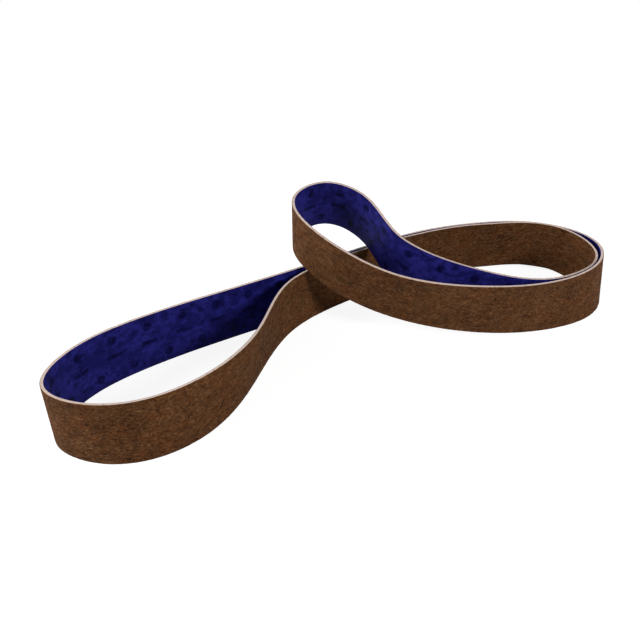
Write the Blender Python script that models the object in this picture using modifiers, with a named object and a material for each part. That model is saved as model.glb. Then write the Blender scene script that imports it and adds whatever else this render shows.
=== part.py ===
"""Sanding belt, lying on its edge and looped over itself.

The belt is one endless band of two bonded layers: a brown abrasive web on the outside
and a navy cloth backing on the inside. It stands on its lower edge in a long loop on
the left and a wide loop on the right. Between them a small loop climbs on to the strand
below it and comes down again in front.

Metres, +Z up. The origin is on the floor, midway between the ends of the belt's outline.
"""

import math

import bmesh
import bpy
import numpy as np

# The belt itself
BELT_LENGTH = 2.000         # round the belt, along the middle of its thickness
BELT_WIDTH = 0.050
WEB_THICKNESS = 0.0014      # abrasive layer
BACKING_THICKNESS = 0.0011  # cloth layer
BOND_LINE = 0.0003          # between the two layers

# How strands of the belt lie against each other
SIDE_GAP = 0.0015           # between the faces of two strands that lie side by side
REST_GAP = 0.0006           # between a strand's upper edge and the strand that lies on it

# How finely the belt is divided
SECTIONS = 256
ROWS = 2

# Stations along the belt, in its direction of travel, with the abrasive on the right.
# Each has x and y on the floor, in metres for a belt 2 m long, the height of the lower
# edge, in belt widths, the lean of the upper edge towards the abrasive side, in degrees,
# and how many strands further out, towards the abrasive side, the belt lies.
LEFT_LOOP = [
    (-0.2280, -0.1150, 0, 0, 0),
    (-0.1840, -0.1385, 0, -5, 0),
    (-0.1190, -0.1090, 0, -3, 0),
    (-0.0855, -0.0465, 0, 6, 0),
    (-0.0615, 0.0260, 0, -2, 0),
]
STRAND_UNDERNEATH = [
    (-0.0075, 0.0790, 0, -1, 0),
    (0.0670, 0.1250, 0, 0, 0),
    (0.1400, 0.1475, 0, 2, 0),
]
RIGHT_LOOP_INSIDE = [
    (0.2025, 0.1350, 0.07, 5, 0),
    (0.2245, 0.0815, 0.02, -1, 0),
    (0.1710, 0.0340, 0.01, -4, 0),
    (0.1015, 0.0280, 0.25, -5, 0),
]
SMALL_LOOP = [
    (0.0335, 0.0475, 0.71, -3, 0),
    (0.0030, 0.0970, 1.12, -9, 0),
    (-0.0290, 0.1090, 1.28, -18, 0),
    (-0.0570, 0.0810, 1.20, -4, 0),
    (-0.0395, 0.0335, 0.99, 9, 0),
]
STRAND_IN_FRONT = [
    (0.0115, 0.0075, 0.59, 16, 0),
    (0.0975, 0.0010, 0.26, 9, 0),
    (0.1700, 0.0195, 0.11, 1, 0),
]
RIGHT_LOOP_OUTSIDE = [
    (0.2205, 0.0545, 0.07, -7, 0),
    (0.2335, 0.1135, 0, -5, 0),
    (0.1875, 0.1500, 0, -2, 0),
]
STRAND_BEHIND = [(x, y, lift, -lean, 1) for x, y, lift, lean, _ in STRAND_UNDERNEATH[::-1]]
BACK_TO_LEFT_LOOP = [
    (-0.1060, 0.0200, 0, -1, 0),
    (-0.1870, -0.0355, 0, 0, 0),
    (-0.2225, -0.0770, 0, 1, 0),
]
STATIONS = (LEFT_LOOP + STRAND_UNDERNEATH + RIGHT_LOOP_INSIDE + SMALL_LOOP + STRAND_IN_FRONT
            + RIGHT_LOOP_OUTSIDE + STRAND_BEHIND + BACK_TO_LEFT_LOOP)

# Colours
BROWN = (0.095, 0.050, 0.028, 1.0)
NAVY = (0.022, 0.018, 0.085, 1.0)

SAMPLES_PER_SECTION = 8
SCALING_ROUNDS = 6


def belt_thickness():
    return WEB_THICKNESS + BOND_LINE + BACKING_THICKNESS


def clear_scene():
    for item in list(bpy.data.objects):
        bpy.data.objects.remove(item, do_unlink=True)


def unit(vectors):
    return vectors / np.linalg.norm(vectors, axis=1)[:, None]


def closed_spline(points, knots, period, at):
    """Values at the places `at` of the smooth closed cubic curve through the points."""
    count = len(points)
    step = np.diff(np.append(knots, period))
    bend = np.zeros((count, count))
    pull = np.zeros(points.shape)
    for i in range(count):
        before, after = (i - 1) % count, (i + 1) % count
        bend[i, before] += step[before]
        bend[i, i] += 2 * (step[before] + step[i])
        bend[i, after] += step[i]
        pull[i] = 6 * ((points[after] - points[i]) / step[i]
                       - (points[i] - points[before]) / step[before])
    second = np.linalg.solve(bend, pull)
    span = np.searchsorted(knots, at, side="right") - 1
    after = (span + 1) % count
    width = step[span][:, None]
    far = ((at - knots[span]) / step[span])[:, None]
    near = 1 - far
    return (near * points[span] + far * points[after]
            + ((near ** 3 - near) * second[span] + (far ** 3 - far) * second[after])
            * width ** 2 / 6)


def station_places(plan_scale):
    """Each station's x, y, height of the lower edge and lean, in metres and radians."""
    table = np.array(STATIONS)
    plan = table[:, :2] * plan_scale
    along = unit(np.roll(plan, -1, 0) - np.roll(plan, 1, 0))
    outward = np.column_stack([along[:, 1], -along[:, 0]])
    aside = table[:, 4] * (belt_thickness() + SIDE_GAP)
    plan = plan + outward * aside[:, None]
    lift = table[:, 2] * (BELT_WIDTH + REST_GAP)
    return np.column_stack([plan, lift, np.radians(table[:, 3])])


def middle_line(plan_scale):
    """Many points along the middle of the belt, with its lean at each of them."""
    places = station_places(plan_scale)
    gaps = np.linalg.norm(np.roll(places, -1, 0)[:, :3] - places[:, :3], axis=1)
    knots = np.append(0, np.cumsum(gaps))[:-1]
    period = gaps.sum()
    at = np.linspace(0, period, SECTIONS * SAMPLES_PER_SECTION, endpoint=False)
    x, y, lift, lean = closed_spline(places, knots, period, at).T
    height = (np.maximum(lift, 0) + BELT_WIDTH / 2 * np.cos(lean)
              + belt_thickness() / 2 * np.abs(np.sin(lean)))
    return np.column_stack([x, y, height]), lean


def step_lengths(points):
    return np.linalg.norm(np.roll(points, -1, 0) - points, axis=1)


def belt_sections():
    """Evenly spaced sections: middle point, direction across the belt, outward normal."""
    plan_scale = 1.0
    for _ in range(SCALING_ROUNDS):
        points, lean = middle_line(plan_scale)
        plan_scale *= BELT_LENGTH / step_lengths(points).sum()
    steps = step_lengths(points)
    travelled = np.append(0, np.cumsum(steps))
    even = np.linspace(0, travelled[-1], SECTIONS, endpoint=False)
    closed = np.column_stack([points, lean])
    closed = np.vstack([closed, closed[:1]])
    middle = np.column_stack([np.interp(even, travelled, column) for column in closed.T])
    middle, lean = middle[:, :3], middle[:, 3:]
    along = unit(np.roll(middle, -1, 0) - np.roll(middle, 1, 0))
    upright = unit(np.array([0, 0, 1]) - along * along[:, 2:])
    level = np.cross(along, upright)
    across = upright * np.cos(lean) + level * np.sin(lean)
    outward = np.cross(along, across)
    return middle, across, outward


def centred(middle, across, outward):
    """The sections moved so that the belt's outline is centred on the origin."""
    reach = np.abs(across) * BELT_WIDTH / 2 + np.abs(outward) * belt_thickness() / 2
    low = (middle - reach).min(axis=0)
    high = (middle + reach).max(axis=0)
    shift = np.array([(low[0] + high[0]) / 2, (low[1] + high[1]) / 2, low[2]])
    return middle - shift, across, outward


def material(name, colour, roughness):
    made = bpy.data.materials.new(name)
    made.use_nodes = True
    made.diffuse_color = colour
    shader = made.node_tree.nodes["Principled BSDF"]
    shader.inputs["Base Color"].default_value = colour
    shader.inputs["Roughness"].default_value = roughness
    shader.inputs["Metallic"].default_value = 0.0
    return made


def band(name, sections, outside, thickness, finish, collection):
    """A closed layer of the belt, its middle `outside` the middle of the thickness."""
    middle, across, outward = sections
    shape = bmesh.new()
    rows = []
    for row in range(ROWS + 1):
        height = (row / ROWS - 0.5) * BELT_WIDTH
        places = middle + across * height + outward * outside
        rows.append([shape.verts.new(place) for place in places])
    for lower, upper in zip(rows, rows[1:]):
        for i in range(SECTIONS):
            j = (i + 1) % SECTIONS
            shape.faces.new((lower[j], upper[j], upper[i], lower[i]))
    mesh = bpy.data.meshes.new(name)
    shape.to_mesh(mesh)
    shape.free()
    mesh.materials.append(finish)
    layer = bpy.data.objects.new(name, mesh)
    collection.objects.link(layer)
    shell = layer.modifiers.new("thickness", "SOLIDIFY")
    shell.thickness = thickness
    shell.offset = 0.0
    mesh.shade_smooth()
    mesh.set_sharp_from_angle(angle=math.radians(40))
    return layer


def abrasive_web(sections, collection):
    outside = (belt_thickness() - WEB_THICKNESS) / 2
    finish = material("abrasive_brown", BROWN, 0.9)
    return band("abrasive_web", sections, outside, WEB_THICKNESS, finish, collection)


def cloth_backing(sections, collection):
    outside = (BACKING_THICKNESS - belt_thickness()) / 2
    finish = material("backing_navy", NAVY, 0.7)
    return band("cloth_backing", sections, outside, BACKING_THICKNESS, finish, collection)


def main():
    clear_scene()
    collection = bpy.data.collections.new("sanding_belt")
    bpy.context.scene.collection.children.link(collection)
    sections = centred(*belt_sections())
    abrasive_web(sections, collection)
    cloth_backing(sections, collection)


main()
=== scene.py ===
"""Looks of the sanding belt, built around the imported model.

Both layers of the belt are made again at a fine scale along the same route: the brown
fibre web with its grain, its cut edges and loose fibres, and the navy cloth backing.
Metres, +Z up, in the frame's own place.
"""

import math

import bpy
import numpy as np
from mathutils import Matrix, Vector, noise


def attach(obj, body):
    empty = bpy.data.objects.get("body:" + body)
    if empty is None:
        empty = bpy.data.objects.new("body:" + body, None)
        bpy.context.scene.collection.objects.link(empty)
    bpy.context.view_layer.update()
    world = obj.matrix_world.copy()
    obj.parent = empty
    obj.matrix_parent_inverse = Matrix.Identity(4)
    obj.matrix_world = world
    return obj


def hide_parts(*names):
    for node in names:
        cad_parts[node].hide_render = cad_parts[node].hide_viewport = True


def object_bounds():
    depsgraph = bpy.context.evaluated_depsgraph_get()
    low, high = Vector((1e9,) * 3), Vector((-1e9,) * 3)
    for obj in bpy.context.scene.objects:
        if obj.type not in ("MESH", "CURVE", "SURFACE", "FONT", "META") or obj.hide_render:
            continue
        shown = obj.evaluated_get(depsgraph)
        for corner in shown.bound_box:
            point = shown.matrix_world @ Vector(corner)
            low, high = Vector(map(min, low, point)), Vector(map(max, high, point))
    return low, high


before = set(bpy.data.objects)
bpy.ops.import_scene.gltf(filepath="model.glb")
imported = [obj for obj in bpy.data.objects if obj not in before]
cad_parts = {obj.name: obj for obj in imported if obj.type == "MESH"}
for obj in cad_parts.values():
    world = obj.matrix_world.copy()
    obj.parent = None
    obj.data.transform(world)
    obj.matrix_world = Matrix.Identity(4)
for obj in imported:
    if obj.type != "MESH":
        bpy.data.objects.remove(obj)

CAD_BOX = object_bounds()

# The belt itself, as in the model
BELT_LENGTH = 2.000
BELT_WIDTH = 0.050
WEB_THICKNESS = 0.0014
BACKING_THICKNESS = 0.0011
BOND_LINE = 0.0003
BELT_THICKNESS = WEB_THICKNESS + BOND_LINE + BACKING_THICKNESS
HALF_WIDTH = BELT_WIDTH / 2
HALF_THICKNESS = BELT_THICKNESS / 2
BOND_MIDDLE = BACKING_THICKNESS - HALF_THICKNESS + BOND_LINE / 2
SIDE_GAP = 0.0015
REST_GAP = 0.0006

# The route, as in the model: x and y in metres, height of the lower edge in belt widths,
# lean towards the abrasive side in degrees, and strands further out.
LEFT_LOOP = [
    (-0.2280, -0.1150, 0, 0, 0),
    (-0.1840, -0.1385, 0, -5, 0),
    (-0.1190, -0.1090, 0, -3, 0),
    (-0.0855, -0.0465, 0, 6, 0),
    (-0.0615, 0.0260, 0, -2, 0),
]
STRAND_UNDERNEATH = [
    (-0.0075, 0.0790, 0, -1, 0),
    (0.0670, 0.1250, 0, 0, 0),
    (0.1400, 0.1475, 0, 2, 0),
]
RIGHT_LOOP_INSIDE = [
    (0.2025, 0.1350, 0.07, 5, 0),
    (0.2245, 0.0815, 0.02, -1, 0),
    (0.1710, 0.0340, 0.01, -4, 0),
    (0.1015, 0.0280, 0.25, -5, 0),
]
SMALL_LOOP = [
    (0.0335, 0.0475, 0.71, -3, 0),
    (0.0030, 0.0970, 1.12, -9, 0),
    (-0.0290, 0.1090, 1.28, -18, 0),
    (-0.0570, 0.0810, 1.20, -4, 0),
    (-0.0395, 0.0335, 0.99, 9, 0),
]
STRAND_IN_FRONT = [
    (0.0115, 0.0075, 0.59, 16, 0),
    (0.0975, 0.0010, 0.26, 9, 0),
    (0.1700, 0.0195, 0.11, 1, 0),
]
RIGHT_LOOP_OUTSIDE = [
    (0.2205, 0.0545, 0.07, -7, 0),
    (0.2335, 0.1135, 0, -5, 0),
    (0.1875, 0.1500, 0, -2, 0),
]
STRAND_BEHIND = [(x, y, lift, -lean, 1) for x, y, lift, lean, _ in STRAND_UNDERNEATH[::-1]]
BACK_TO_LEFT_LOOP = [
    (-0.1060, 0.0200, 0, -1, 0),
    (-0.1870, -0.0355, 0, 0, 0),
    (-0.2225, -0.0770, 0, 1, 0),
]
STATIONS = (LEFT_LOOP + STRAND_UNDERNEATH + RIGHT_LOOP_INSIDE + SMALL_LOOP + STRAND_IN_FRONT
            + RIGHT_LOOP_OUTSIDE + STRAND_BEHIND + BACK_TO_LEFT_LOOP)
ROUTE_SAMPLES = 12000
SCALING_ROUNDS = 6

# How finely the two layers are divided
WEB_SECTIONS = 1440
WEB_ROWS = 34
BACKING_SECTIONS = 1000
BACKING_ROWS = 16
BONDED_ROWS = 2             # on the faces that are glued together
RIM_ROWS = 4
CORNER_STEPS = 3

# Surface relief
WEB_CORNER_RADIUS = 0.00040
CLOTH_CORNER_RADIUS = 0.00025
GRAIN_HEIGHT = 0.00016      # lumps of the web's face
GRAIN_ALONG = 0.0030
GRAIN_ACROSS = 0.0019
CLOTH_HEIGHT = 0.00004      # faint unevenness of the cloth
CLOTH_SIZE = 0.0060
WEB_FRAY_HEIGHT = 0.00012   # ragged cut edges
CLOTH_FRAY_HEIGHT = 0.00006
FRAY_SIZE = 0.0016
FRAY_BY_DEPTH = 2           # how much the fraying differs through the thickness

# Seeds of the relief
GRAIN_SEED = 3.0
FINE_GRAIN_SEED = 41.0
WEB_FRAY_SEED = 17.0
CLOTH_SEED = 5.0
CLOTH_FRAY_SEED = 29.0

# Loose fibres: a pair is a range for even draws, and a spread is for normal draws
FIBRE_RADIUS = 0.00006
FIBRE_POINTS = 3
FIBRE_TONE_STEP = 0.618034          # from a fibre to the next, so the tones fill their range
SHORTEST_VECTOR = 1e-9
FACE_FIBRES = 12500
FACE_FIBRE_SEED = 11
FACE_FIBRE_LENGTHS = (0.0025, 0.0075)
FACE_FIBRE_LIFTS = (0.2, 1.0)       # shares of the grain's height
FACE_FIBRE_TURN_SPREAD = 34         # degrees away from the belt's run
FACE_FIBRE_BOW_SPREAD = 0.10        # share of the length
EDGE_FIBRES = 3600
EDGE_FIBRE_SEED = 23
EDGE_FIBRE_LENGTHS = (0.0004, 0.0012)
EDGE_FIBRE_DEPTHS = (0.10, 0.95)    # shares of the web's thickness
EDGE_FIBRE_TURN_SPREAD = 42         # degrees away from straight out
EDGE_FIBRE_STRAY_SPREAD = 0.0001
EDGE_FIBRE_REACH = 0.00035          # furthest past the cut edge

# Cut edges: brown and navy next to the faces, with a cream core between
WEB_STAIN = 0.00045         # depth from the web's face to which the edge stays brown
CLOTH_STAIN = 0.00035       # depth from the cloth's face to which it stays navy
RAGGED_BORDER = 0.00020     # how far the core's border wanders
EDGE_BLEND = 0.00002
BROWN_FIBRE_INSET = 0.0003  # fibres stay brown up to here, in from the cut edge
CREAM_FIBRE_INSET = 0.0001  # and are cream from here on

# Colours, linear
BROWN_DARK = (0.021, 0.0078, 0.0022, 1)
BROWN = (0.069, 0.0280, 0.0098, 1)
RUST = (0.078, 0.0275, 0.0084, 1)
BROWN_LIGHT = (0.138, 0.063, 0.025, 1)
TAN = (0.25, 0.150, 0.080, 1)
CREAM = (0.52, 0.41, 0.35, 1)
CREAM_DARK = (0.32, 0.22, 0.17, 1)
NAVY_DARK = (0.0007, 0.0004, 0.026, 1)
NAVY = (0.0075, 0.0070, 0.083, 1)
NAVY_LIGHT = (0.0175, 0.0165, 0.160, 1)
SATIN = {"Sheen Weight": 0.02, "Sheen Roughness": 0.4, "Sheen Tint": (0.45, 0.42, 0.95, 1)}
FLOOR_GREY = (0.80, 0.80, 0.80, 1)      # as it lights the belt
FLOOR_SEEN = (0.22, 0.22, 0.22, 1)      # as the camera sees it
FLOOR_GLOW = (0.89, 0.89, 0.89, 1)      # added to what the camera sees
WHITE = (1, 1, 1, 1)

# Patterns: size along and across the belt in metres, detail, roughness, seed
PATTERNS = {
    "broad": (0.045, 0.030, 2.0, 0.5, 1.0),
    "warmth": (0.016, 0.011, 2.0, 0.6, 9.0),
    "patches": (0.0095, 0.0050, 2.0, 0.55, 2.0),
    "grains": (0.0030, 0.0013, 3.0, 0.62, 3.0),
    "specks": (0.0022, 0.0010, 2.0, 0.6, 4.0),
    "pits": (0.0032, 0.0015, 1.0, 0.5, 6.0),
    "fuzz": (0.0007, 0.0004, 4.0, 0.7, 5.0),
    "ragged": (0.0022, 0.0022, 2.0, 0.6, 7.0),
    "flecks": (0.0016, 0.0005, 3.0, 0.65, 13.0),
    "clouds": (0.030, 0.022, 3.0, 0.55, 21.0),
    "blotches": (0.0070, 0.0055, 3.0, 0.6, 22.0),
    "smudges": (0.0110, 0.0060, 4.0, 0.65, 24.0),
    "rubbed": (0.0042, 0.0030, 3.0, 0.6, 23.0),
}
GRAINS_SHARE, PATCHES_SHARE, BROAD_SHARE = 0.62, 0.26, 0.12     # in the web's tone
BLOTCHES_SHARE, CLOUDS_SHARE = 0.60, 0.40                       # in the cloth's tone

# Steps from one colour to the next: the range of the pattern over which it happens, and
# the shares of the next colour at its ends where these aren't 0 and 1
STEPS = {
    "rust": (0.42, 0.62),
    "brown": (0.36, 0.50),
    "light_brown": (0.50, 0.66),
    "tan_specks": (0.62, 0.76, 0.0, 0.70),
    "dark_pits": (0.66, 0.76, 0.0, 0.85),
    "dark_flecks": (0.52, 0.74),
    "brown_fibres": (0.0, 0.55),
    "tan_fibres": (0.45, 1.0),
    "light_navy": (0.43, 0.59),
    "print_left": (0.38, 0.56, 0.55, 0.95),
    "dark_smudges": (0.55, 0.66, 0.0, 0.75),
}

# Fine bumps: height in metres, strength
FUZZ_BUMP = (0.00025, 0.8)
WEAVE_BUMP = (0.00008, 0.5)
THREADS = 2800              # round the belt
THREAD = BELT_LENGTH / THREADS

# Print on the cloth: dots in two rows, with bars between the rows
PRINT_REPEATS = 64          # round the belt
PRINT_PITCH = BELT_LENGTH / PRINT_REPEATS
DOT_ROWS = ((0.0150, 0.0), (-0.0150, 0.5))      # place across, and shift in pitches
DOT_RADIUS = 0.0040
DOT_BLUR = 0.0010
BAR_LENGTH = 0.0140
BAR_WIDTH = 0.0040
BAR_END_BLUR = 0.0008
BAR_SIDE_BLUR = 0.0006

# Studio light: a plain level from all round, and soft lamps left, right and behind
WORLD_LEVEL = 0.22
LAMP_TARGET = (0, 0, 0.05)
LAMPS = {
    "left_lamp": {"place": (-1.6, -0.2, 0.9), "size": 0.8, "watts": 37},
    "right_lamp": {"place": (1.15, -1.2, 0.95), "size": 0.4, "watts": 25},
    "back_lamp": {"place": (0.3, 1.6, 0.7), "size": 0.8, "watts": 14},
}
FLOOR_RADIUS = 1.2
FLOOR_SIDES = 96

# Camera, at the photograph's viewing angle, in degrees down and to the right
CAMERA_PLACE = (-0.04122, -0.48989, 0.34107)
CAMERA_PITCH = 32.93
CAMERA_YAW = 0.236
CAMERA_LENS = 37.71
SENSOR_WIDTH = 36.0
NEAREST_SEEN = 0.01


def unit(vectors):
    return vectors / np.linalg.norm(vectors, axis=1)[:, None]


def closed_spline(points, knots, period, at):
    """Values at the places `at` of the smooth closed cubic curve through the points."""
    count = len(points)
    step = np.diff(np.append(knots, period))
    bend = np.zeros((count, count))
    pull = np.zeros(points.shape)
    for i in range(count):
        before, after = (i - 1) % count, (i + 1) % count
        bend[i, before] += step[before]
        bend[i, i] += 2 * (step[before] + step[i])
        bend[i, after] += step[i]
        pull[i] = 6 * ((points[after] - points[i]) / step[i]
                       - (points[i] - points[before]) / step[before])
    second = np.linalg.solve(bend, pull)
    span = np.searchsorted(knots, at, side="right") - 1
    after = (span + 1) % count
    width = step[span][:, None]
    far = ((at - knots[span]) / step[span])[:, None]
    near = 1 - far
    return (near * points[span] + far * points[after]
            + ((near ** 3 - near) * second[span] + (far ** 3 - far) * second[after])
            * width ** 2 / 6)


def station_places(plan_scale):
    """Each station's x, y, height of the lower edge and lean, in metres and radians."""
    table = np.array(STATIONS)
    plan = table[:, :2] * plan_scale
    along = unit(np.roll(plan, -1, 0) - np.roll(plan, 1, 0))
    outward = np.column_stack([along[:, 1], -along[:, 0]])
    plan = plan + outward * (table[:, 4] * (BELT_THICKNESS + SIDE_GAP))[:, None]
    lift = table[:, 2] * (BELT_WIDTH + REST_GAP)
    return np.column_stack([plan, lift, np.radians(table[:, 3])])


def middle_line(plan_scale):
    """Many points along the middle of the belt, with its lean at each of them."""
    places = station_places(plan_scale)
    gaps = np.linalg.norm(np.roll(places, -1, 0)[:, :3] - places[:, :3], axis=1)
    knots = np.append(0, np.cumsum(gaps))[:-1]
    at = np.linspace(0, gaps.sum(), ROUTE_SAMPLES, endpoint=False)
    x, y, lift, lean = closed_spline(places, knots, gaps.sum(), at).T
    height = (np.maximum(lift, 0) + HALF_WIDTH * np.cos(lean)
              + HALF_THICKNESS * np.abs(np.sin(lean)))
    return np.column_stack([x, y, height]), lean


def step_lengths(points):
    return np.linalg.norm(np.roll(points, -1, 0) - points, axis=1)


def belt_route():
    """The belt's middle line and lean at even steps, centred on the model's box."""
    plan_scale = 1.0
    for _ in range(SCALING_ROUNDS):
        points, lean = middle_line(plan_scale)
        plan_scale *= BELT_LENGTH / step_lengths(points).sum()
    travelled = np.append(0, np.cumsum(step_lengths(points)))
    even = np.linspace(0, travelled[-1], ROUTE_SAMPLES, endpoint=False)
    closed = np.column_stack([points, lean])
    closed = np.vstack([closed, closed[:1]])
    route = np.column_stack([np.interp(even, travelled, column) for column in closed.T])
    middle, across, outward = directions(route)
    reach = np.abs(across) * HALF_WIDTH + np.abs(outward) * HALF_THICKNESS
    low, high = (middle - reach).min(axis=0), (middle + reach).max(axis=0)
    box_low, box_high = np.array(CAD_BOX[0]), np.array(CAD_BOX[1])
    route[:, :2] += ((box_low + box_high) / 2 - (low + high) / 2)[:2]
    route[:, 2] += box_low[2] - low[2]
    return route


def directions(route):
    """Middle points, directions across the belt and outward normals along a route."""
    middle, lean = route[:, :3], route[:, 3:]
    along = unit(np.roll(middle, -1, 0) - np.roll(middle, 1, 0))
    upright = unit(np.array([0, 0, 1]) - along * along[:, 2:])
    across = upright * np.cos(lean) + np.cross(along, upright) * np.sin(lean)
    return middle, across, np.cross(along, across)


def frames_at(route, along):
    """The route's frames at distances along the belt, given as shares of its length."""
    middle, across, outward = directions(route)
    table = np.hstack([middle, across, outward])
    table = np.vstack([table, table[:1]])
    steps = np.arange(len(table))
    where = (along % 1.0) * len(middle)
    found = np.column_stack([np.interp(where, steps, column) for column in table.T])
    return found[:, :3], unit(found[:, 3:6]), unit(found[:, 6:])


def rolled_up(along, across):
    """A place on the belt as a point on a cylinder as long round as the belt.

    Patterns read from these points have no seam where the belt closes.
    """
    angle = 2 * math.pi * along
    radius = BELT_LENGTH / (2 * math.pi)
    return np.column_stack([radius * np.cos(angle), radius * np.sin(angle), across])


def relief(points, size_along, size_across, seed):
    """Smooth noise from -1 to 1 at rolled-up points, its lumps of the given size."""
    scale = np.array([1 / size_along, 1 / size_along, 1 / size_across])
    scaled = points * scale + seed
    return np.array([noise.noise(Vector(point)) for point in scaled])


def corner(centre, radius, start):
    """Points of a quarter round, from the angle `start` on, in degrees."""
    x, y = centre
    angles = np.radians(start + np.linspace(0, 90, CORNER_STEPS + 1))
    return [(x + radius * math.cos(a), y + radius * math.sin(a)) for a in angles]


def straight(start, end, steps):
    """Points from start up to, and without, end."""
    return [tuple(np.add(start, np.subtract(end, start) * i / steps)) for i in range(steps)]


def layer_profile(inner, outer, inner_radius, outer_radius, inner_rows, outer_rows):
    """A layer's cross-section as (across, outward) points, anticlockwise.

    The inner and outer face each have their distance outward from the middle of the
    belt, the radius of their two corners, or 0, and a number of rows.
    """
    left, right = -HALF_WIDTH, HALF_WIDTH
    bottom, top = inner + inner_radius, outer - outer_radius
    profile = []
    if inner_radius:
        low, high = left + inner_radius, right - inner_radius
        profile += corner((low, bottom), inner_radius, 180)
        profile += straight((low, inner), (high, inner), inner_rows)[1:]
        profile += corner((high, bottom), inner_radius, 270)
    else:
        profile += straight((left, inner), (right, inner), inner_rows)
        profile += [(right, inner)]
    profile += straight((right, bottom), (right, top), RIM_ROWS)[1:]
    if outer_radius:
        low, high = left + outer_radius, right - outer_radius
        profile += corner((high, top), outer_radius, 0)
        profile += straight((high, outer), (low, outer), outer_rows)[1:]
        profile += corner((low, top), outer_radius, 90)
    else:
        profile += [(right, outer)]
        profile += straight((right, outer), (left, outer), outer_rows)[1:]
        profile += [(left, outer)]
    profile += straight((left, top), (left, bottom), RIM_ROWS)[1:]
    return np.array(profile)


def mesh_object(name, points, faces, finish, attributes):
    """A smooth-shaded mesh, with named vectors at its points or its corners."""
    mesh = bpy.data.meshes.new(name)
    sides = faces.shape[1]
    mesh.vertices.add(len(points))
    mesh.vertices.foreach_set("co", points.astype(np.float32).ravel())
    mesh.loops.add(faces.size)
    mesh.loops.foreach_set("vertex_index", faces.astype(np.int32).ravel())
    mesh.polygons.add(len(faces))
    mesh.polygons.foreach_set("loop_start", np.arange(0, faces.size, sides, dtype=np.int32))
    mesh.update(calc_edges=True)
    for label, domain, values in attributes:
        made = mesh.attributes.new(label, "FLOAT_VECTOR", domain)
        made.data.foreach_set("vector", values.astype(np.float32).ravel())
    mesh.materials.append(finish)
    mesh.shade_smooth()
    piece = bpy.data.objects.new(name, mesh)
    bpy.context.scene.collection.objects.link(piece)
    return piece


def layer(name, route, profile, sections, shape_surface, finish):
    """One layer of the belt: its cross-section carried round the route.

    Its points know their rolled-up place. Its faces' corners know their place along and
    across the belt and outward from its middle, without a jump where the belt closes.
    """
    rows = len(profile)
    along = np.arange(sections) / sections
    middle, across, outward = frames_at(route, along)
    along_grid = np.repeat(along, rows)
    across_grid = np.tile(profile[:, 0], sections)
    depth_grid = np.tile(profile[:, 1], sections)
    move_across, move_out = shape_surface(along_grid, across_grid, depth_grid)
    section, row = np.divmod(np.arange(sections * rows), rows)
    points = (middle[section] + across[section] * (across_grid + move_across)[:, None]
              + outward[section] * (depth_grid + move_out)[:, None])
    after, beside = (section + 1) % sections, (row + 1) % rows
    faces = np.column_stack([section * rows + row, section * rows + beside,
                             after * rows + beside, after * rows + row])
    corner_section = np.column_stack([section, section, section + 1, section + 1]).ravel()
    corner_row = np.column_stack([row, beside, beside, row]).ravel()
    place = np.column_stack([corner_section / sections * BELT_LENGTH, profile[corner_row, 0],
                             profile[corner_row, 1]])
    return mesh_object(name, points, faces, finish, [
        ("rolled", "POINT", rolled_up(along_grid, across_grid)),
        ("place", "CORNER", place),
    ])


def fraying(rolled, depth, seed):
    """Ragged noise from -1 to 1 on a cut edge."""
    return relief(rolled + depth[:, None] * FRAY_BY_DEPTH, FRAY_SIZE, FRAY_SIZE, seed)


def web_surface(along, across, depth):
    """How far the web's points move across and outward: grain, and ragged cut edges."""
    rolled = rolled_up(along, across)
    grain = relief(rolled, GRAIN_ALONG, GRAIN_ACROSS, GRAIN_SEED)
    fine = relief(rolled, GRAIN_ALONG / 2, GRAIN_ACROSS / 2, FINE_GRAIN_SEED)
    frayed = fraying(rolled, depth, WEB_FRAY_SEED)
    on_face = depth > HALF_THICKNESS - WEB_CORNER_RADIUS / 2
    on_rim = np.abs(across) > HALF_WIDTH - WEB_CORNER_RADIUS / 2
    move_out = np.where(on_face, GRAIN_HEIGHT * (grain + fine / 2), 0.0)
    move_across = np.where(on_rim, WEB_FRAY_HEIGHT * frayed * np.sign(across), 0.0)
    return move_across, move_out


def cloth_surface(along, across, depth):
    """How far the cloth's points move: a faintly uneven face, and ragged cut edges."""
    rolled = rolled_up(along, across)
    uneven = relief(rolled, CLOTH_SIZE, CLOTH_SIZE, CLOTH_SEED)
    frayed = fraying(rolled, depth, CLOTH_FRAY_SEED)
    on_face = depth < -HALF_THICKNESS + CLOTH_CORNER_RADIUS / 2
    on_rim = np.abs(across) > HALF_WIDTH - CLOTH_CORNER_RADIUS / 2
    move_out = np.where(on_face, CLOTH_HEIGHT * uneven, 0.0)
    move_across = np.where(on_rim, CLOTH_FRAY_HEIGHT * frayed * np.sign(across), 0.0)
    return move_across, move_out


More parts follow.
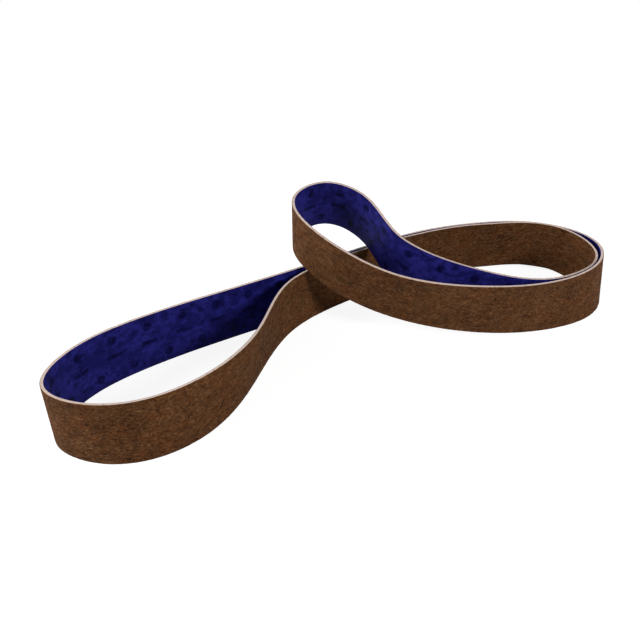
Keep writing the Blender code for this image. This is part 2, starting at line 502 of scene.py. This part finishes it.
def fibres(name, route, along, across, out, finish):
    """Thin fibres along the given curves on the belt, each end closed by a triangle.

    Each of along, across and out holds one row for each fibre and one value for each of
    its points. Along is a share of the belt's length, across and out are in metres.
    """
    sides = 3
    count, steps = along.shape
    middle, over, outward = frames_at(route, along.ravel())
    line = middle + over * across.ravel()[:, None] + outward * out.ravel()[:, None]
    line = line.reshape(count, steps, 3)
    outward = outward.reshape(count, steps, 3)
    course = np.gradient(line, axis=1)
    course = course / np.linalg.norm(course, axis=2)[:, :, None]
    aside = np.cross(course, outward)
    aside = aside / np.maximum(np.linalg.norm(aside, axis=2), SHORTEST_VECTOR)[:, :, None]
    lift = np.cross(aside, course)
    edges = []
    for turn in range(sides):
        angle = 2 * math.pi * turn / sides + math.pi / 2
        edges.append(line + FIBRE_RADIUS * (aside * math.cos(angle) + lift * math.sin(angle)))
    points = np.stack(edges, axis=2).reshape(-1, 3)
    triangles = [(0, 2, 1)]
    for step in range(steps - 1):
        for turn in range(sides):
            a = step * sides + turn
            b = step * sides + (turn + 1) % sides
            triangles += [(a, b, b + sides), (a, b + sides, a + sides)]
    last = (steps - 1) * sides
    triangles += [(last, last + 1, last + 2)]
    first = np.arange(count) * steps * sides
    faces = (first[:, None, None] + np.array(triangles)).reshape(-1, 3)
    tone = np.repeat((np.arange(count) * FIBRE_TONE_STEP) % 1.0, steps * sides)
    reach = np.repeat(np.abs(across).max(axis=1), steps * sides)
    values = np.column_stack([tone, reach, np.zeros_like(tone)])
    return mesh_object(name, points, faces, finish, [("fibre", "POINT", values)])


def face_fibres(route, finish):
    """Fibres lying on the web's face, mostly along the belt."""
    random = np.random.default_rng(FACE_FIBRE_SEED)
    limit = HALF_WIDTH - WEB_CORNER_RADIUS
    span = np.linspace(-1, 1, FIBRE_POINTS)
    length = random.uniform(*FACE_FIBRE_LENGTHS, FACE_FIBRES)[:, None]
    turn = np.radians(random.normal(0, FACE_FIBRE_TURN_SPREAD, FACE_FIBRES))[:, None]
    bow = random.normal(0, FACE_FIBRE_BOW_SPREAD, FACE_FIBRES)[:, None] * length
    bow = bow * (1 - span ** 2)
    start = random.uniform(0, 1, FACE_FIBRES)[:, None]
    middle = random.uniform(-1, 1, FACE_FIBRES)[:, None] * limit
    along = start + (np.cos(turn) * length / 2 * span - np.sin(turn) * bow) / BELT_LENGTH
    across = middle + np.sin(turn) * length / 2 * span + np.cos(turn) * bow
    across = np.clip(across, -limit, limit)
    lift = random.uniform(*FACE_FIBRE_LIFTS, FACE_FIBRES)[:, None] * GRAIN_HEIGHT
    out = HALF_THICKNESS + lift * (1 - span ** 2) - FIBRE_RADIUS
    return fibres("web_face_fibres", route, along, across, out, finish)


def edge_fibres(route, finish):
    """Short fibres that stand out of the web's cut edges."""
    random = np.random.default_rng(EDGE_FIBRE_SEED)
    share = np.linspace(0, 1, FIBRE_POINTS)
    length = random.uniform(*EDGE_FIBRE_LENGTHS, EDGE_FIBRES)[:, None]
    turn = np.radians(random.normal(0, EDGE_FIBRE_TURN_SPREAD, EDGE_FIBRES))[:, None]
    side = np.where(random.uniform(0, 1, EDGE_FIBRES) < 0.5, -1.0, 1.0)[:, None]
    start = random.uniform(0, 1, EDGE_FIBRES)[:, None]
    along = start + np.sin(turn) * length * share / BELT_LENGTH
    reach = np.cos(turn) * length * share - length / 2
    across = side * (HALF_WIDTH + np.minimum(reach, EDGE_FIBRE_REACH))
    depth = random.uniform(*EDGE_FIBRE_DEPTHS, EDGE_FIBRES)[:, None] * WEB_THICKNESS
    stray = random.normal(0, EDGE_FIBRE_STRAY_SPREAD, EDGE_FIBRES)[:, None] * share
    out = HALF_THICKNESS - depth + stray
    return fibres("web_edge_fibres", route, along, across, out, finish)


def put(tree, kind, inputs=None, **settings):
    """A new node. Its inputs are given by name or number, as values or as sockets."""
    made = tree.nodes.new(kind)
    for label, value in settings.items():
        setattr(made, label, value)
    for label, value in (inputs or {}).items():
        if isinstance(value, bpy.types.NodeSocket):
            tree.links.new(value, made.inputs[label])
        else:
            made.inputs[label].default_value = value
    return made


def calc(tree, operation, first, second=0.0, third=0.0):
    """The result of a Math node."""
    inputs = {0: first, 1: second, 2: third}
    return put(tree, "ShaderNodeMath", inputs, operation=operation).outputs[0]


def between(tree, value, low, high, to_low=0.0, to_high=1.0):
    """The value carried smoothly from the range low to high to another range."""
    inputs = {"Value": value, "From Min": low, "From Max": high,
              "To Min": to_low, "To Max": to_high}
    made = put(tree, "ShaderNodeMapRange", inputs, interpolation_type="SMOOTHSTEP")
    return made.outputs["Result"]


def stepped(tree, value, name):
    """The value as a share from 0 to 1, by the named step between two colours."""
    return between(tree, value, *STEPS[name])


def blend(tree, share, first, second):
    """Two colours mixed by a share from 0 to 1."""
    made = put(tree, "ShaderNodeMix", {"Factor": share}, data_type="RGBA")
    for name, value in (("A", first), ("B", second)):
        socket = [s for s in made.inputs if s.name == name and s.type == "RGBA"][0]
        if isinstance(value, bpy.types.NodeSocket):
            tree.links.new(value, socket)
        else:
            socket.default_value = value
    return [s for s in made.outputs if s.type == "RGBA"][0]


def attribute(tree, name):
    return put(tree, "ShaderNodeAttribute", attribute_name=name).outputs["Vector"]


def parts_of(tree, vector):
    return put(tree, "ShaderNodeSeparateXYZ", {"Vector": vector}).outputs


def mottle(tree, rolled, name):
    """The named pattern on the belt, as noise from 0 to 1."""
    size_along, size_across, detail, roughness, seed = PATTERNS[name]
    scale = (1 / size_along, 1 / size_along, 1 / size_across)
    place = put(tree, "ShaderNodeMapping",
                {"Vector": rolled, "Scale": scale, "Location": (seed, seed, seed)})
    inputs = {"Vector": place.outputs["Vector"], "Scale": 1.0, "Detail": detail,
              "Roughness": roughness}
    return put(tree, "ShaderNodeTexNoise", inputs).outputs["Fac"]


def new_material(name, roughness, specular):
    made = bpy.data.materials.new(name)
    made.use_nodes = True
    shader = made.node_tree.nodes["Principled BSDF"]
    shader.inputs["Roughness"].default_value = roughness
    shader.inputs["Specular IOR Level"].default_value = specular
    return made, made.node_tree, shader


def bumped(tree, shader, height, distance, strength):
    made = put(tree, "ShaderNodeBump",
               {"Height": height, "Distance": distance, "Strength": strength})
    tree.links.new(made.outputs["Normal"], shader.inputs["Normal"])


def with_cut_edges(tree, colour, rolled, across, from_face, stain):
    """The colour, with cream on the cut edges deeper than the stain from the face."""
    at_edge = between(tree, calc(tree, "ABSOLUTE", across),
                      HALF_WIDTH - EDGE_BLEND, HALF_WIDTH)
    ragged = mottle(tree, rolled, "ragged")
    depth = calc(tree, "MULTIPLY_ADD", ragged, RAGGED_BORDER, from_face)
    border = stain + RAGGED_BORDER / 2
    inside = between(tree, depth, border - RAGGED_BORDER / 4, border + RAGGED_BORDER / 4)
    core = calc(tree, "MULTIPLY", at_edge, inside)
    flecks = stepped(tree, mottle(tree, rolled, "flecks"), "dark_flecks")
    return blend(tree, core, colour, blend(tree, flecks, CREAM, CREAM_DARK))


def abrasive_material():
    """Matt brown fibre web: dark and light grains drawn out along the belt."""
    made, tree, shader = new_material("abrasive_brown_web", roughness=0.92, specular=0.08)
    rolled = attribute(tree, "rolled")
    across, depth = parts_of(tree, attribute(tree, "place"))[1:]
    patches = calc(tree, "MULTIPLY", mottle(tree, rolled, "patches"), PATCHES_SHARE)
    tone = calc(tree, "MULTIPLY_ADD", mottle(tree, rolled, "grains"), GRAINS_SHARE, patches)
    tone = calc(tree, "MULTIPLY_ADD", mottle(tree, rolled, "broad"), BROAD_SHARE, tone)
    warmth = mottle(tree, rolled, "warmth")
    specks = mottle(tree, rolled, "specks")
    pits = mottle(tree, rolled, "pits")
    colour = blend(tree, stepped(tree, warmth, "rust"), BROWN, RUST)
    colour = blend(tree, stepped(tree, tone, "brown"), BROWN_DARK, colour)
    colour = blend(tree, stepped(tree, tone, "light_brown"), colour, BROWN_LIGHT)
    colour = blend(tree, stepped(tree, specks, "tan_specks"), colour, TAN)
    colour = blend(tree, stepped(tree, pits, "dark_pits"), colour, BROWN_DARK)
    from_face = calc(tree, "SUBTRACT", HALF_THICKNESS, depth)
    colour = with_cut_edges(tree, colour, rolled, across, from_face, WEB_STAIN)
    tree.links.new(colour, shader.inputs["Base Color"])
    bumped(tree, shader, mottle(tree, rolled, "fuzz"), *FUZZ_BUMP)
    return made


def fibre_material():
    """Loose fibres: brown on the face, from dark to tan, and cream at the cut edges."""
    made, tree, shader = new_material("abrasive_brown_fibre", roughness=0.8, specular=0.12)
    tone, reach = parts_of(tree, attribute(tree, "fibre"))[:2]
    brown = blend(tree, stepped(tree, tone, "brown_fibres"), BROWN_DARK, BROWN)
    brown = blend(tree, stepped(tree, tone, "tan_fibres"), brown, TAN)
    cream = between(tree, reach, HALF_WIDTH - BROWN_FIBRE_INSET,
                    HALF_WIDTH - CREAM_FIBRE_INSET)
    colour = blend(tree, cream, brown, CREAM)
    tree.links.new(colour, shader.inputs["Base Color"])
    return made


def cell_offset(tree, along, shift):
    """Distance along the belt from the middle of the print's nearest cell."""
    cell = calc(tree, "FRACT", calc(tree, "MULTIPLY_ADD", along, 1 / PRINT_PITCH, shift))
    return calc(tree, "MULTIPLY_ADD", cell, PRINT_PITCH, -PRINT_PITCH / 2)


def within(tree, distance, limit, blur):
    """1 where the distance is inside the limit and 0 outside it, with a soft border."""
    return between(tree, distance, limit + blur, limit - blur)


def print_share(tree, along, across):
    """A plain repeat of soft dots and short bars, printed on the cloth."""
    from_middle = calc(tree, "ABSOLUTE", cell_offset(tree, along, 0.0))
    printed = calc(tree, "MULTIPLY",
                   within(tree, from_middle, BAR_LENGTH / 2, BAR_END_BLUR),
                   within(tree, calc(tree, "ABSOLUTE", across), BAR_WIDTH / 2, BAR_SIDE_BLUR))
    for row, shift in DOT_ROWS:
        near = cell_offset(tree, along, shift)
        up = calc(tree, "SUBTRACT", across, row)
        square = calc(tree, "MULTIPLY_ADD", near, near, calc(tree, "MULTIPLY", up, up))
        dot = within(tree, calc(tree, "SQRT", square), DOT_RADIUS, DOT_BLUR)
        printed = calc(tree, "MAXIMUM", printed, dot)
    return printed


def backing_material():
    """Navy cloth with a faint satin, a worn darker print and a fine weave."""
    made, tree, shader = new_material("backing_navy_cloth", roughness=0.6, specular=0.04)
    rolled = attribute(tree, "rolled")
    along, across, depth = parts_of(tree, attribute(tree, "place"))
    clouds = calc(tree, "MULTIPLY", mottle(tree, rolled, "clouds"), CLOUDS_SHARE)
    tone = calc(tree, "MULTIPLY_ADD", mottle(tree, rolled, "blotches"), BLOTCHES_SHARE, clouds)
    colour = blend(tree, stepped(tree, tone, "light_navy"), NAVY, NAVY_LIGHT)
    worn = stepped(tree, mottle(tree, rolled, "rubbed"), "print_left")
    printed = calc(tree, "MULTIPLY", print_share(tree, along, across), worn)
    smudges = stepped(tree, mottle(tree, rolled, "smudges"), "dark_smudges")
    colour = blend(tree, calc(tree, "MAXIMUM", printed, smudges), colour, NAVY_DARK)
    from_face = calc(tree, "ADD", depth, HALF_THICKNESS)
    colour = with_cut_edges(tree, colour, rolled, across, from_face, CLOTH_STAIN)
    tree.links.new(colour, shader.inputs["Base Color"])
    for name, value in SATIN.items():
        shader.inputs[name].default_value = value
    warp = calc(tree, "SINE", calc(tree, "MULTIPLY", along, 2 * math.pi / THREAD))
    weft = calc(tree, "SINE", calc(tree, "MULTIPLY", across, 2 * math.pi / THREAD))
    bumped(tree, shader, calc(tree, "MULTIPLY", warp, weft), *WEAVE_BUMP)
    return made


def seen_share(tree):
    """1 for what the camera sees, also in a reflection or through glass, and else 0."""
    path = put(tree, "ShaderNodeLightPath").outputs
    seen = calc(tree, "MAXIMUM", path["Is Camera Ray"], path["Is Glossy Ray"])
    return calc(tree, "MAXIMUM", seen, path["Is Transmission Ray"])


def floor_material():
    """Pale floor that shows as white where nothing shades it."""
    made, tree, shader = new_material("floor_pale", roughness=1.0, specular=0.0)
    seen = seen_share(tree)
    tree.links.new(seen, shader.inputs["Emission Strength"])
    tree.links.new(blend(tree, seen, FLOOR_GREY, FLOOR_SEEN), shader.inputs["Base Color"])
    shader.inputs["Emission Color"].default_value = FLOOR_GLOW
    return made


def make_floor():
    bpy.ops.mesh.primitive_circle_add(vertices=FLOOR_SIDES, radius=FLOOR_RADIUS,
                                      fill_type="NGON")
    floor = bpy.context.object
    floor.name = "floor"
    floor.data.materials.append(floor_material())


def make_world():
    """White behind everything, and a plain level of light from all round."""
    world = bpy.data.worlds.new("studio")
    bpy.context.scene.world = world
    world.use_nodes = True
    tree = world.node_tree
    background = tree.nodes["Background"]
    background.inputs["Color"].default_value = WHITE
    level = calc(tree, "MULTIPLY_ADD", seen_share(tree), 1 - WORLD_LEVEL, WORLD_LEVEL)
    tree.links.new(level, background.inputs["Strength"])


def make_lamps():
    for name, lamp in LAMPS.items():
        light = bpy.data.lights.new(name, "AREA")
        light.size = lamp["size"]
        light.energy = lamp["watts"]
        holder = bpy.data.objects.new(name, light)
        towards = Vector(LAMP_TARGET) - Vector(lamp["place"])
        holder.location = lamp["place"]
        holder.rotation_euler = towards.to_track_quat("-Z", "Y").to_euler()
        bpy.context.scene.collection.objects.link(holder)


def make_camera():
    lens = bpy.data.cameras.new("camera")
    lens.lens = CAMERA_LENS
    lens.sensor_width = SENSOR_WIDTH
    lens.clip_start = NEAREST_SEEN
    holder = bpy.data.objects.new("camera", lens)
    holder.location = CAMERA_PLACE
    holder.rotation_euler = (math.radians(90 - CAMERA_PITCH), 0, -math.radians(CAMERA_YAW))
    bpy.context.scene.collection.objects.link(holder)
    bpy.context.scene.camera = holder


def make_web(route):
    profile = layer_profile(BOND_MIDDLE, HALF_THICKNESS, 0, WEB_CORNER_RADIUS,
                            BONDED_ROWS, WEB_ROWS)
    web = layer("web", route, profile, WEB_SECTIONS, web_surface, abrasive_material())
    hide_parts("abrasive_web")
    return web


def make_backing(route):
    profile = layer_profile(-HALF_THICKNESS, BOND_MIDDLE, CLOTH_CORNER_RADIUS, 0,
                            BACKING_ROWS, BONDED_ROWS)
    backing = layer("backing", route, profile, BACKING_SECTIONS, cloth_surface,
                    backing_material())
    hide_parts("cloth_backing")
    return backing


def main():
    route = belt_route()
    finish = fibre_material()
    for piece in (make_web(route), face_fibres(route, finish), edge_fibres(route, finish)):
        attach(piece, "root")
    backing = make_backing(route)
    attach(backing, "root")
    make_floor()
    make_world()
    make_lamps()
    make_camera()
    bpy.context.scene.view_settings.view_transform = "Standard"


main()
